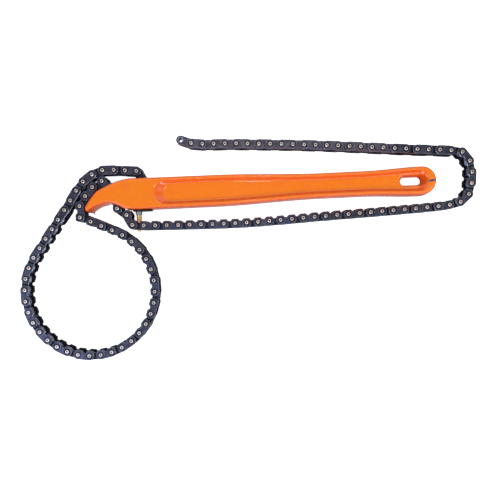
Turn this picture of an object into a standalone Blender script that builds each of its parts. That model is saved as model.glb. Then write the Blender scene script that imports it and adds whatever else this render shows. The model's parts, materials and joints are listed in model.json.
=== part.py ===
"""Chain pipe wrench: a forged handle with a hooked beak, and a toothed roller chain lying in a loop.

The chain is pinned inside the slotted head, runs out over the head's back, round the pipe
loop, up over the beak, down through the head's slot and onto a hook peg. Its tail then lies
along the handle and turns back round the handle's end.

Metres, +Z up. The origin is on the anchor pin's axis, in the head's lower face, and the
handle runs along +X.
"""

import math

import bmesh
import bpy
from mathutils import Vector

# Chain: three-eighths pitch, with one straight back and one toothed edge on every plate
PITCH = 0.009525
INNER_WIDTH = 0.00478
PLATE_THICKNESS = 0.00127
PLATE_GAP = 0.00045
PLATE_BACK = 0.0038
PLATE_TOOTH = 0.0037
BACK_REACH = 0.0036
TOOTH_HALF_WIDTH = 0.0027
NOTCH_HEIGHT = 0.0020
BUSH_RADIUS = 0.00254
PIN_RADIUS = 0.0015
PIN_PLAY = 0.0002
RIVET_RADIUS = 0.0019
RIVET_RISE = 0.0006
SETTLE_STEP = 0.0003

# Chain lay, counted in pins from the anchor pin, which is pin 0
OPEN_PIN = 24
BEAK_PIN = 45
PEG_PIN = 54
LAST_PIN = 113
PLAIN_PIN = 89
ANCHOR_BEARING = 118.0
PEG_LINK_BEARING = -6.0
SEAT_BEARINGS = (89.0, 57.0, 49.0, 30.0, -39.0, -57.0, -94.0, -38.0, -62.0)
RUN_SPACINGS = ((49, 0.0090), (48, 0.0087), (47, 0.0089), (46, 0.0094))
LOOP_CENTRE = (-5.14 * PITCH, -9.45 * PITCH)

# Head: two cheeks with the chain slot between them, and a beak
CHEEK = 0.0030
SLOT_PLAY = 0.0003
SLOT_WALL_PLAY = 0.0005
BEAK_GAP = 0.0013
DRAFT = 0.0009
HEAD_BACK = 0.0024
ANCHOR_POCKET = 0.0057
MOUTH_OVERRUN = 0.0050
ANCHOR_PIN_RADIUS = 0.0015
HOLE_PLAY = 0.0003
ANCHOR_SOCKET = 0.0018

# Shank and grip end, an I-section with a round end and a hanging slot
AXIS_Y = -0.01095
HEAD_HALF_DEPTH = 0.01335
WAIST_HALF_DEPTH = 0.01065
GRIP_RADIUS = 0.0124
HEAD_END = 0.060
WAIST_START = 0.150
WAIST_END = 0.185
GRIP_CENTRE = 0.2322
RIM = 0.0035
RECESS_START = 0.0105
RECESS_END = 0.2100
RECESS_DEPTH = 0.0035
RECESS_SIDE_SLOPE = 0.0019
RECESS_END_SLOPE = 0.0050
RECESS_ROUND = 0.8
SLOT_HOLE_CENTRE = 0.2215
SLOT_HOLE_LENGTH = 0.0168
SLOT_HOLE_WIDTH = 0.0080

# Hook: a peg riveted through a plate under the head
PEG_X = -0.0052
PEG_DROP = 0.0125
PEG_PLAY = 0.00037
PEG_SOCKET = 0.010
PEG_COLLAR_RADIUS = 0.0027
PEG_COLLAR = 0.0020
PEG_PAST_LINK = 0.0052
HOOK_PLATE_THICKNESS = 0.0012
HOOK_PLATE_WIDTH = 0.0150
HOOK_PLATE_LEFT = 0.0042
HOOK_PLATE_RIGHT = 0.0116
SEAT_GAP = 0.0003

ROUND_SIDES = 6
NECK_SIDES = 3
HOLE_SIDES = 10

# Heights of the chain's plates above and below its middle
INNER_LOW = INNER_WIDTH / 2
INNER_HIGH = INNER_LOW + PLATE_THICKNESS
OUTER_LOW = INNER_HIGH + PLATE_GAP
OUTER_HIGH = OUTER_LOW + PLATE_THICKNESS
CHAIN_HALF = OUTER_HIGH + RIVET_RISE

SLOT_HALF = CHAIN_HALF + SLOT_PLAY
MID_Z = CHEEK + SLOT_HALF
HEAD_THICKNESS = 2 * MID_Z
UNDERSIDE_Y = AXIS_Y - HEAD_HALF_DEPTH
PEG_RADIUS = PITCH / 2 - BUSH_RADIUS - PEG_PLAY


def clear_scene():
    for obj in list(bpy.data.objects):
        bpy.data.objects.remove(obj, do_unlink=True)


def paint(name, colour, metallic, roughness):
    """A Principled material of one colour."""
    material = bpy.data.materials.new(name)
    material.use_nodes = True
    shader = material.node_tree.nodes["Principled BSDF"]
    shader.inputs["Base Color"].default_value = (*colour, 1.0)
    shader.inputs["Metallic"].default_value = metallic
    shader.inputs["Roughness"].default_value = roughness
    return material


def polar(radius, degrees):
    angle = math.radians(degrees)
    return Vector((radius * math.cos(angle), radius * math.sin(angle)))


def add_object(name, bm, material, location=(0.0, 0.0, 0.0), bearing=0.0):
    """One named object from a bmesh, its round faces shaded smooth."""
    bmesh.ops.recalc_face_normals(bm, faces=bm.faces)
    mesh = bpy.data.meshes.new(name)
    bm.to_mesh(mesh)
    bm.free()
    mesh.shade_smooth()
    mesh.set_sharp_from_angle(angle=math.radians(40))
    mesh.materials.append(material)
    obj = bpy.data.objects.new(name, mesh)
    obj.location = location
    obj.rotation_euler = (0.0, 0.0, bearing)
    bpy.context.scene.collection.objects.link(obj)
    return obj


# Where the chain lies


def seated_pins():
    """Pins from the beak's tip to the peg, walked back from the peg one link at a time."""
    row = Vector((PEG_X, UNDERSIDE_Y - PEG_DROP))
    half_link = polar(PITCH / 2, PEG_LINK_BEARING)
    pins = {PEG_PIN: row - half_link, PEG_PIN + 1: row + half_link}
    for index, bearing in zip(range(PEG_PIN - 1, BEAK_PIN - 1, -1), reversed(SEAT_BEARINGS)):
        pins[index] = pins[index + 1] - polar(PITCH, bearing)
    return pins


def corner_normal(before, here, after):
    """Left-hand normal of a chain corner, as long as keeps 1 away from both its links."""
    arrive = (here - before).normalized()
    leave = (after - here).normalized()
    along = (arrive + leave).normalized()
    return Vector((-along.y, along.x)) / along.dot(leave)


def beside(pins, index, distance):
    """A point beside a seated pin: positive on the toothed side, negative on the back."""
    return pins[index] + corner_normal(pins[index - 1], pins[index], pins[index + 1]) * distance


def smooth_through(points, steps=8):
    """A smooth curve through the points, as a fine row of points."""
    ends = [2 * points[0] - points[1], *points, 2 * points[-1] - points[-2]]
    curve = [points[0]]
    for a, b, c, d in zip(ends, ends[1:], ends[2:], ends[3:]):
        for step in range(1, steps + 1):
            t = step / steps
            curve.append(
                0.5 * (2 * b + (c - a) * t + (2 * a - 5 * b + 4 * c - d) * t**2
                       + (3 * b - a - 3 * c + d) * t**3)
            )
    return curve


def tangent_angle(point, centre, radius, side):
    """Angle on a circle where a straight run from the point touches it."""
    away = point - centre
    return math.atan2(away.y, away.x) + side * math.acos(radius / away.length)


def loop_curve(start, lead, end, radius):
    """Run over the head, a straight run to the pipe circle, round it, and straight to the beak."""
    centre = Vector(LOOP_CENTRE)
    first = tangent_angle(lead[-1], centre, radius, 1)
    last = tangent_angle(end, centre, radius, -1) + math.tau
    arc_steps = 60
    arc = [
        centre + radius * Vector((math.cos(angle), math.sin(angle)))
        for angle in (first + (last - first) * i / arc_steps for i in range(arc_steps + 1))
    ]
    return smooth_through([start, *lead]) + arc + [end]


def walk(curve, pitch):
    """Points one pitch apart, by straight distance, along the curve, and the part left over."""
    here = curve[0]
    pins = [here]
    for a, b in zip(curve, curve[1:]):
        while (b - here).length >= pitch:
            along = (b - a).normalized()
            offset = a - here
            middle = offset.dot(along)
            root = math.sqrt(max(middle**2 - offset.length_squared + pitch**2, 0.0))
            step = root - middle
            here = a + along * step
            pins.append(here)
    return pins, (curve[-1] - here).length / pitch


def loop_pins(seat):
    """Pins 0 to the beak's tip. The loop's radius is the one that a whole number of links fits."""
    anchor = Vector((0.0, 0.0))
    first = polar(PITCH, ANCHOR_BEARING)
    lead = [
        seat[index] + corner_normal(*(seat[index + i] for i in (-1, 0, 1))).normalized() * spacing
        for index, spacing in RUN_SPACINGS
    ]
    low = 0.0
    high = min((point - Vector(LOOP_CENTRE)).length for point in (lead[-1], seat[BEAK_PIN]))
    for _ in range(40):
        radius = (low + high) / 2
        pins, rest = walk(loop_curve(first, lead, seat[BEAK_PIN], radius), PITCH)
        if len(pins) + rest > BEAK_PIN:
            high = radius
        else:
            low = radius
    pins = [anchor, *pins][:BEAK_PIN]
    return pins, radius


def tail_pins(start):
    """Pins after the peg: along below the handle, round its end and back above it."""
    end_x = GRIP_CENTRE + GRIP_RADIUS
    below = UNDERSIDE_Y
    back = AXIS_Y + HEAD_HALF_DEPTH
    guide = [
        start,
        Vector((0.0280, below - 0.0138)),
        Vector((0.0850, below - 0.0145)),
        Vector((0.1500, below - 0.0120)),
        Vector((0.2080, below - 0.0099)),
        Vector((end_x + 0.0072, below - 0.0078)),
        Vector((end_x + 0.0210, below - 0.0054)),
        Vector((end_x + 0.0287, below + 0.0013)),
        Vector((end_x + 0.0318, AXIS_Y)),
        Vector((end_x + 0.0315, back - 0.0018)),
        Vector((end_x + 0.0272, back + 0.0080)),
        Vector((end_x + 0.0164, back + 0.0115)),
        Vector((0.2230, back + 0.0147)),
        Vector((0.1500, back + 0.0213)),
        Vector((0.0800, back + 0.0258)),
        Vector((0.0460, back + 0.0272)),
        Vector((0.0320, back + 0.0316)),
        Vector((0.0000, back + 0.0420)),
        Vector((-0.0600, back + 0.0600)),
    ]
    pins, _ = walk(smooth_through(guide), PITCH)
    return pins[1 : LAST_PIN - PEG_PIN]


def chain_pins():
    """Every pin in plan, from the anchor to the free end, and the loop's radius."""
    seat = seated_pins()
    loop, radius = loop_pins(seat)
    row = loop + [seat[index] for index in range(BEAK_PIN, PEG_PIN + 2)]
    return row + tail_pins(row[-1]), seat, radius


def pair_height(pair):
    """Middle height of a pair of links: it settles from the slot to the floor by its side play."""
    slot_pair = (PEG_PIN - 3) // 2
    peg_pair = PEG_PIN // 2
    if pair * 2 < OPEN_PIN:
        away = pair
    elif pair <= slot_pair:
        away = slot_pair - pair
    else:
        away = max(pair - peg_pair, 0)
    return max(MID_Z - SETTLE_STEP * away, CHAIN_HALF)


# One stretch of chain


def plate_outline(start, end, toothed=True):
    """Plate between two pins: a straight back, and a tooth over each pin unless it is plain."""
    along = (end - start).normalized()
    left = Vector((-along.y, along.x))
    length = (end - start).length
    notch = (
        (length - TOOTH_HALF_WIDTH, PLATE_TOOTH),
        (length / 2, NOTCH_HEIGHT),
        (TOOTH_HALF_WIDTH, PLATE_TOOTH),
    )
    corners = (
        (-BACK_REACH, -PLATE_BACK),
        (length + BACK_REACH, -PLATE_BACK),
        (length + TOOTH_HALF_WIDTH, PLATE_TOOTH),
        *(notch if toothed else ()),
        (-TOOTH_HALF_WIDTH, PLATE_TOOTH),
    )
    return [start + along * x + left * y for x, y in corners]


def ring(centre, radius, sides):
    return [centre + polar(radius, 360.0 * (i + 0.5) / sides) for i in range(sides)]


def add_loop(bm, points, z):
    """A closed loop of edges at one height."""
    verts = [bm.verts.new((point.x, point.y, z)) for point in points]
    edges = [bm.edges.new(pair) for pair in zip(verts, verts[1:] + verts[:1])]
    return verts, edges


def join_loops(bm, low, high):
    """Walls between two loops of as many points."""
    count = len(low)
    for i in range(count):
        j = (i + 1) % count
        bm.faces.new((low[i], low[j], high[j], high[i]))


def plate_face(bm, outline, rings, z):
    """One face of a plate, open inside each ring. Returns its outline and its rings."""
    border, edges = add_loop(bm, outline, z)
    loops = []
    for points in rings:
        verts, more = add_loop(bm, points, z)
        loops.append(verts)
        edges += more
    bmesh.ops.triangle_fill(bm, use_beauty=True, edges=edges)
    return border, loops


def add_rivet_head(bm, verts, centre, z):
    tip = bm.verts.new((centre.x, centre.y, z))
    for a, b in zip(verts, verts[1:] + verts[:1]):
        bm.faces.new((a, b, tip))


def add_inner_link(bm, start, end, open_start, neck_sides, toothed):
    """Two inner plates and their bushes. The start bush is open unless it holds a fixed pin."""
    outline = plate_outline(start, end, toothed)
    bushes = [ring(pin, BUSH_RADIUS, ROUND_SIDES) for pin in (start, end)]
    bore = ring(start, (PIN_RADIUS + PIN_PLAY) / math.cos(math.pi / ROUND_SIDES), ROUND_SIDES)
    bores, necks, barrels = [], {}, []
    for side in (-1, 1):
        outside = [bore] if open_start else [ring(start, PIN_RADIUS, NECK_SIDES)]
        with_neck = neck_sides(side)
        if with_neck:
            outside.append(ring(end, PIN_RADIUS, NECK_SIDES))
        outer_border, outer_loops = plate_face(bm, outline, outside, side * INNER_HIGH)
        inner_border, inner_loops = plate_face(bm, outline, bushes, side * INNER_LOW)
        join_loops(bm, inner_border, outer_border)
        bores.append(outer_loops[0])
        barrels.append(inner_loops)
        if with_neck:
            necks[side] = outer_loops[1]
    for low, high in zip(*barrels):
        join_loops(bm, low, high)
    if open_start:
        join_loops(bm, *bores)
    return dict(zip((-1, 1), bores)), necks


def add_outer_link(bm, start, end, necks, end_kind, toothed):
    """Two outer plates on the necks of the link before, with a rivet head over each pin."""
    outline = plate_outline(start, end, toothed)
    pin = ring(end, PIN_RADIUS, ROUND_SIDES)
    neck = ring(end, PIN_RADIUS, NECK_SIDES)
    ends = {}
    for side in (-1, 1):
        inside = [ring(start, PIN_RADIUS, NECK_SIDES)] if side in necks else []
        if end_kind == "pin":
            inside.append(pin)
        elif end_kind == "neck":
            inside.append(neck)
        heads = [ring(spot, RIVET_RADIUS, ROUND_SIDES) for spot in (start, end)] if side > 0 else []
        inner_border, inner_loops = plate_face(bm, outline, inside, side * OUTER_LOW)
        outer_border, outer_loops = plate_face(bm, outline, heads, side * OUTER_HIGH)
        join_loops(bm, inner_border, outer_border)
        if side in necks:
            join_loops(bm, necks[side], inner_loops[0])
        if end_kind != "none":
            ends[side] = inner_loops[-1]
        for verts, spot in zip(outer_loops, (start, end)):
            add_rivet_head(bm, verts, spot, side * CHAIN_HALF)
    if end_kind == "pin":
        join_loops(bm, ends[-1], ends[1])
    return ends


def chain_piece(pins, toothed_links, through_pin=True):
    """Inner and outer links in turn, riveted into one stiff piece that starts on an open bush."""
    bm = bmesh.new()
    links = list(zip(pins, pins[1:]))
    held = None
    for number in range(0, len(links), 2):
        start, middle = links[number]
        last_pair = number + 2 >= len(links)
        alone = number + 1 >= len(links)
        both = not through_pin or not last_pair
        bores, necks = add_inner_link(
            bm, start, middle, number == 0,
            lambda side: not alone and (both or side > 0),
            number < toothed_links,
        )
        if held:
            for side in (-1, 1):
                join_loops(bm, held[side], bores[side])
        if alone:
            break
        if not last_pair:
            kind = "neck"
        else:
            kind = "pin" if through_pin else "none"
        toothed = number + 1 < toothed_links
        held = add_outer_link(bm, *links[number + 1], necks, kind, toothed)
    return bm


def add_chain_piece(name, pins, first, last, height, origin_pin, material, through_pin=True):
    """A chain piece whose origin is on the pivot that it turns about."""
    origin = pins[origin_pin]
    local = [pins[index] - origin for index in range(first, last + 1)]
    bm = chain_piece(local, PLAIN_PIN - first, through_pin)
    return add_object(name, bm, material, (origin.x, origin.y, height))


def pair_name(pair):
    return f"chain_pair_{pair + 1:02d}"


def build_chain(pins, material):
    """Every pair of links, an inner one and the outer one after it, from the anchor on."""
    pairs = (LAST_PIN + 1) // 2
    joined = (PEG_PIN - 4) // 2
    for pair in range(pairs):
        if pair == joined + 1:
            continue
        first = 2 * pair
        last = min(first + (4 if pair == joined else 2), LAST_PIN)
        turns_at_end = OPEN_PIN <= first < BEAK_PIN
        add_chain_piece(
            pair_name(pair), pins, first, last, pair_height(pair),
            last if turns_at_end else first, material, through_pin=last != OPEN_PIN,
        )


# Handle


def ease(x, start, end):
    t = min(max((x - start) / (end - start), 0.0), 1.0)
    return t * t * (3 - 2 * t)


def half_depth(x):
    """Half the shank's depth: deep at the head, waisted, and deeper again at the grip."""
    waist = HEAD_HALF_DEPTH + (WAIST_HALF_DEPTH - HEAD_HALF_DEPTH) * ease(x, HEAD_END, WAIST_START)
    return waist + (GRIP_RADIUS - WAIST_HALF_DEPTH) * ease(x, WAIST_END, GRIP_CENTRE)


def spaced(start, end, count):
    return [start + (end - start) * i / (count - 1) for i in range(count)]


def handle_outline(seat):
    """The forging's outline at its parting line, anticlockwise from the slot's exit."""
    stations = spaced(HEAD_END, GRIP_CENTRE, 7)
    underside = [Vector((x, AXIS_Y - half_depth(x))) for x in stations]
    grip = Vector((GRIP_CENTRE, AXIS_Y))
    round_end = [grip + polar(GRIP_RADIUS, angle) for angle in range(-68, 90, 22)]
    back = [Vector((x, AXIS_Y + half_depth(x))) for x in reversed(stations)]
    crest, *beak_back = [beside(seat, i, -(PLATE_BACK + BEAK_GAP)) for i in (49, 48, 47, 46)]
    tip = beak_back[-1]
    throat = [
        tip + Vector((0.0003, -0.0026)),
        tip + Vector((0.0022, -0.0046)),
        beak_back[1] + Vector((0.0046, -0.0071)),
        beak_back[0] + Vector((0.0052, -0.0116)),
        beak_back[0] + Vector((0.0100, -0.0107)),
        beak_back[0] + Vector((0.0144, -0.0119)),
    ]
    heel = Vector((PEG_X - 0.0070, UNDERSIDE_Y + 0.0003))
    shoulder = [Vector((-0.0215, HEAD_BACK - 0.0026)), Vector((-0.0110, HEAD_BACK - 0.0004))]
    return [
        heel, *underside, *round_end, *back, Vector((0.0, HEAD_BACK)), *reversed(shoulder),
        crest, *beak_back, *throat, Vector((-0.0188, UNDERSIDE_Y + 0.0028)),
    ]


def forging(outline):
    """A solid that tapers from its parting line to both faces, as a drop forging does."""
    bm = bmesh.new()
    parting, _ = add_loop(bm, outline, MID_Z)
    middle = bm.faces.new(parting)
    for direction in (1, -1):
        cap = middle.copy(verts=True, edges=True) if direction > 0 else middle
        cap.normal_update()
        if (cap.normal.z > 0) != (direction > 0):
            cap.normal_flip()
        bmesh.ops.inset_region(
            bm, faces=[cap], thickness=DRAFT, use_even_offset=True, use_boundary=True
        )
        for vert in cap.verts:
            vert.co.z += direction * HEAD_THICKNESS / 2
    bmesh.ops.remove_doubles(bm, verts=bm.verts, dist=1e-6)
    return bm


def prism(points, low, high):
    """A closed solid between two heights."""
    bm = bmesh.new()
    bottom, _ = add_loop(bm, points, low)
    top, _ = add_loop(bm, points, high)
    join_loops(bm, bottom, top)
    bm.faces.new(bottom)
    bm.faces.new(top)
    return bm


def cut(body, name, bm):
    """Cuts a bmesh's shape from a body, with a Boolean and a hidden helper."""
    bmesh.ops.recalc_face_normals(bm, faces=bm.faces)
    mesh = bpy.data.meshes.new(name)
    bm.to_mesh(mesh)
    bm.free()
    cutter = bpy.data.objects.new(name, mesh)
    cutter.hide_render = True
    cutter.display_type = "WIRE"
    bpy.context.scene.collection.objects.link(cutter)
    boolean = body.modifiers.new(name, "BOOLEAN")
    boolean.operation = "DIFFERENCE"
    boolean.solver = "EXACT"
    boolean.object = cutter
    return cutter


def chain_slot(seat):
    """Plan of the slot between the cheeks: the chain's way through, and the anchor's pocket."""
    wall = PLATE_BACK + SLOT_WALL_PLAY
    tooth_wall = math.hypot(TOOTH_HALF_WIDTH, PLATE_TOOTH) + SLOT_WALL_PLAY
    leave = (seat[50] - seat[49]).normalized()
    mouth = seat[49] + Vector((leave.y, -leave.x)) * wall - leave * MOUTH_OVERRUN
    back_wall = [mouth, *(beside(seat, index, -wall) for index in (50, 51, 52))]
    relief_x = PEG_X - HOOK_PLATE_LEFT - SEAT_GAP
    below = UNDERSIDE_Y - 0.0060
    above = HEAD_BACK + 0.0080
    right_wall = [
        Vector((relief_x, below)),
        Vector((relief_x, UNDERSIDE_Y + 0.0020)),
        beside(seat, 51, tooth_wall) + Vector((0.0004, -0.0070)),
        beside(seat, 51, tooth_wall),
        beside(seat, 50, tooth_wall) + Vector((0.0060, -0.0020)),
    ]
    pocket = [polar(ANCHOR_POCKET, angle) for angle in (-125, -90, -55, -20)]
    mouth_end = [Vector((ANCHOR_POCKET, above)), Vector((mouth.x, above))]
    return [*back_wall, Vector((back_wall[-1].x, below)), *right_wall, *pocket, *mouth_end]


def recess_outline(rim, end_inset):
    """Plan of the web's recess, which follows the shank's edges and is round at both ends."""
    points = []
    for side in (-1, 1):
        near, far = (RECESS_START, RECESS_END)[:: -side]
        for x in spaced(near, far, 7)[1:-1]:
            points.append(Vector((x, AXIS_Y + side * (half_depth(x) - rim))))
        reach = half_depth(far) - rim
        centre = Vector((far + side * (reach * RECESS_ROUND + end_inset), AXIS_Y))
        for turn in (-60, -30, 0, 30, 60):
            along, across = polar(reach, turn)
            points.append(centre + Vector((-side * along * RECESS_ROUND, -side * across)))
    return points


def recess(face_z, floor_z):
    """The recess's cutter: drafted walls from a little outside the face down to the web."""
    bm = bmesh.new()
    outside = face_z + (face_z - floor_z) * 0.1
    top, _ = add_loop(bm, recess_outline(RIM, 0.0), outside)
    floor, _ = add_loop(bm, recess_outline(RIM + RECESS_SIDE_SLOPE, RECESS_END_SLOPE), floor_z)
    join_loops(bm, floor, top)
    bm.faces.new(top)
    bm.faces.new(floor)
    return bm


def long_hole(centre_x, length, width):
    """Plan of a slot with round ends along X."""
    reach = (length - width) / 2
    right = [Vector((centre_x + reach, AXIS_Y)) + polar(width / 2, a) for a in range(-90, 91, 36)]
    left = [Vector((centre_x - reach, AXIS_Y)) + polar(width / 2, a) for a in range(90, 271, 36)]
    return right + left


def turned(profile, axis_origin, sides):
    """A solid turned about a line along Y: the profile is (radius, distance along -Y) pairs."""
    bm = bmesh.new()
    loops = []
    for radius, drop in profile:
        loops.append([
            bm.verts.new((
                axis_origin.x + radius * math.cos(math.tau * (i + 0.5) / sides),
                axis_origin.y - drop,
                axis_origin.z + radius * math.sin(math.tau * (i + 0.5) / sides),
            ))
            for i in range(sides)
        ])
    for low, high in zip(loops, loops[1:]):
        join_loops(bm, low, high)
    bm.faces.new(loops[0])
    bm.faces.new(loops[-1])
    return bm


def build_handle(seat, material):
    handle = add_object("handle", forging(handle_outline(seat)), material)
    cut(handle, "chain_slot_cutter", prism(chain_slot(seat), CHEEK, HEAD_THICKNESS - CHEEK))
    anchor_hole = ring(Vector((0.0, 0.0)), ANCHOR_PIN_RADIUS + HOLE_PLAY, HOLE_SIDES)
    blind_end = HEAD_THICKNESS - CHEEK + ANCHOR_SOCKET
    cut(handle, "anchor_hole_cutter", prism(anchor_hole, -CHEEK, blind_end))
    cut(handle, "upper_recess_cutter", recess(HEAD_THICKNESS, HEAD_THICKNESS - RECESS_DEPTH))
    cut(handle, "lower_recess_cutter", recess(0.0, RECESS_DEPTH))
    hole = long_hole(SLOT_HOLE_CENTRE, SLOT_HOLE_LENGTH, SLOT_HOLE_WIDTH)
    cut(handle, "hanging_slot_cutter", prism(hole, -CHEEK, HEAD_THICKNESS + CHEEK))
    left = PEG_X - HOOK_PLATE_LEFT - 2 * DRAFT
    right = PEG_X + HOOK_PLATE_RIGHT + SEAT_GAP
    land = [Vector((left, UNDERSIDE_Y - DRAFT)), Vector((right, UNDERSIDE_Y - DRAFT)),
            Vector((right, UNDERSIDE_Y + DRAFT / 2)), Vector((left, UNDERSIDE_Y + DRAFT / 2))]
    cut(handle, "hook_land_cutter", prism(land, -CHEEK, HEAD_THICKNESS + CHEEK))
    socket = [(PEG_RADIUS + HOLE_PLAY, -PEG_SOCKET - HOLE_PLAY), (PEG_RADIUS + HOLE_PLAY, DRAFT)]
    spot = Vector((PEG_X, UNDERSIDE_Y, MID_Z))
    cut(handle, "peg_socket_cutter", turned(socket, spot, HOLE_SIDES))
    return handle


def build_anchor_pin(material):
    outline = ring(Vector((0.0, 0.0)), ANCHOR_PIN_RADIUS, HOLE_SIDES)
    top = HEAD_THICKNESS - CHEEK + ANCHOR_SOCKET - HOLE_PLAY
    add_object("anchor_pin", prism(outline, 0.0, top), material)


def build_hook_plate(material):
    """A strap with rounded ends against the land under the head, bored for the peg."""
    top = UNDERSIDE_Y + DRAFT / 2 - SEAT_GAP
    left = PEG_X - HOOK_PLATE_LEFT
    right = PEG_X + HOOK_PLATE_RIGHT
    nose = HOOK_PLATE_THICKNESS * 0.5
    outline = [
        Vector((left, top)), Vector((left, top - nose)),
        Vector((left + nose, top - HOOK_PLATE_THICKNESS)),
        Vector((right - nose, top - HOOK_PLATE_THICKNESS)),
        Vector((right, top - nose)), Vector((right, top)),
    ]
    half = HOOK_PLATE_WIDTH / 2
    plate = add_object("hook_plate", prism(outline, MID_Z - half, MID_Z + half), material)
    bore = [(PEG_RADIUS + HOLE_PLAY, -DRAFT), (PEG_RADIUS + HOLE_PLAY, HOOK_PLATE_THICKNESS * 2)]
    cut(plate, "hook_plate_cutter", turned(bore, Vector((PEG_X, UNDERSIDE_Y, MID_Z)), HOLE_SIDES))
    return plate


def build_hook_peg(material):
    """A turned peg: a shank in the head, a collar under the plate, and a domed point."""
    plate_bottom = HOOK_PLATE_THICKNESS + 2 * SEAT_GAP - DRAFT / 2
    collar_end = plate_bottom + PEG_COLLAR
    tip = PEG_DROP + PEG_PAST_LINK
    profile = [
        (PEG_RADIUS, -PEG_SOCKET),
        (PEG_RADIUS, plate_bottom),
        (PEG_COLLAR_RADIUS, plate_bottom),
        (PEG_COLLAR_RADIUS, collar_end),
        (PEG_RADIUS, collar_end + PEG_COLLAR_RADIUS - PEG_RADIUS),
        (PEG_RADIUS, tip - PEG_RADIUS * 0.7),
        (PEG_RADIUS * 0.75, tip - PEG_RADIUS * 0.25),
        (PEG_RADIUS * 0.3, tip),
    ]
    bm = turned(profile, Vector((PEG_X, UNDERSIDE_Y, MID_Z)), HOLE_SIDES)
    add_object("hook_peg", bm, material)


def main():
    clear_scene()
    orange = paint("orange_enamel", (0.90, 0.20, 0.02), 0.0, 0.35)
    blued = paint("blued_steel", (0.05, 0.055, 0.09), 0.8, 0.45)
    bright = paint("bright_steel", (0.55, 0.52, 0.50), 1.0, 0.35)
    black = paint("black_steel", (0.02, 0.02, 0.02), 0.6, 0.5)
    zinc = paint("yellow_zinc", (0.62, 0.47, 0.22), 0.9, 0.35)
    pins, seat, _ = chain_pins()
    build_handle(seat, orange)
    build_anchor_pin(bright)
    build_hook_plate(black)
    build_hook_peg(zinc)
    build_chain(pins, blued)


main()
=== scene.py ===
"""Looks of the chain pipe wrench: enamelled forging, blued toothed chain, hook and studio."""

import json
import logging
import math
from dataclasses import dataclass, field
from enum import Enum
from typing import Any, Sequence

import bmesh
import bpy
from mathutils import Matrix, Vector

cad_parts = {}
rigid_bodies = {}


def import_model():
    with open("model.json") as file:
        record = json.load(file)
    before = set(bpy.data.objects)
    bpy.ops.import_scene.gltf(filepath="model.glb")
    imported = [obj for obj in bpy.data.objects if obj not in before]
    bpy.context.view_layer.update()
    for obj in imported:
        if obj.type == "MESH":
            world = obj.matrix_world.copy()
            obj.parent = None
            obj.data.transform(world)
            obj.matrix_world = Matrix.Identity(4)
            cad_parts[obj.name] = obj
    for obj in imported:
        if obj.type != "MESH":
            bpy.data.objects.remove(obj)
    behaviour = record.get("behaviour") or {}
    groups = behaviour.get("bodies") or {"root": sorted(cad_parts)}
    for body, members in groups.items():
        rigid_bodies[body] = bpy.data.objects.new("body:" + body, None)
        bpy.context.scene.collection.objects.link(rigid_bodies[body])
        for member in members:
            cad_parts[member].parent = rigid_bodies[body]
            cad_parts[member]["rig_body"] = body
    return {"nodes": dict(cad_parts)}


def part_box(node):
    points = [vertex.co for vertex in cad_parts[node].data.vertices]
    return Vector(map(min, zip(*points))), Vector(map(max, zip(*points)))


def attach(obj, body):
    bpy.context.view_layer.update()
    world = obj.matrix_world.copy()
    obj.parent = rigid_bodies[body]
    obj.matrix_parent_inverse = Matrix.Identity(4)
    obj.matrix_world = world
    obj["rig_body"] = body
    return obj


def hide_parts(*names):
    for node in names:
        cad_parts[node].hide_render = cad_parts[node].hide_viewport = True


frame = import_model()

LOG = logging.getLogger("chain_pipe_wrench")
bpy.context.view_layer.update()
MM = 0.001
PITCH = 9.525 * MM
WHITE = (1.0, 1.0, 1.0, 1.0)


# Small tools


def linear(code: str) -> tuple[float, float, float, float]:
    """Turns an sRGB hex colour into linear RGBA.

    Args:
        code: The colour as "#RRGGBB".

    Returns:
        Red, green, blue and alpha, each from 0 to 1.
    """
    parts = [int(code[i:i + 2], 16) / 255 for i in (1, 3, 5)]
    red, green, blue = (
        part / 12.92 if part <= 0.04045 else ((part + 0.055) / 1.055) ** 2.4 for part in parts
    )
    return red, green, blue, 1.0


def per_metre(size: float) -> float:
    """Texture scale that gives a pattern whose features are this many millimetres across."""
    return 1.0 / (size * MM)


def add_node(
    tree: bpy.types.NodeTree,
    kind: str,
    settings: dict[str, Any] | None = None,
    inputs: dict[str | int, Any] | None = None,
) -> bpy.types.Node:
    """Adds a shader node, sets its options, and fills or links its inputs.

    Args:
        tree: The node tree that the node goes into.
        kind: The node's type name.
        settings: Option names and values.
        inputs: Input names or numbers, each with a value or with a socket to link from.

    Returns:
        The new node.
    """
    node = tree.nodes.new(kind)
    for name, value in (settings or {}).items():
        setattr(node, name, value)
    for name, value in (inputs or {}).items():
        if isinstance(value, bpy.types.NodeSocket):
            tree.links.new(value, node.inputs[name])
        else:
            node.inputs[name].default_value = value
    return node


def polar(radius: float, degrees: float) -> Vector:
    """A point in plan at this radius and angle."""
    angle = math.radians(degrees)
    return Vector((radius * math.cos(angle), radius * math.sin(angle)))


def bearing(start: Vector, end: Vector) -> float:
    """Angle in radians of the way from one plan point to another."""
    return math.atan2(end.y - start.y, end.x - start.x)


def spaced(start: float, end: float, count: int) -> list[float]:
    """Evenly spaced numbers, both ends included."""
    return [start + (end - start) * i / (count - 1) for i in range(count)]


def eased(value: float, start: float, end: float) -> float:
    """Share of the way from start to end, slow at both."""
    t = min(max((value - start) / (end - start), 0.0), 1.0)
    return t * t * (3 - 2 * t)


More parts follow.
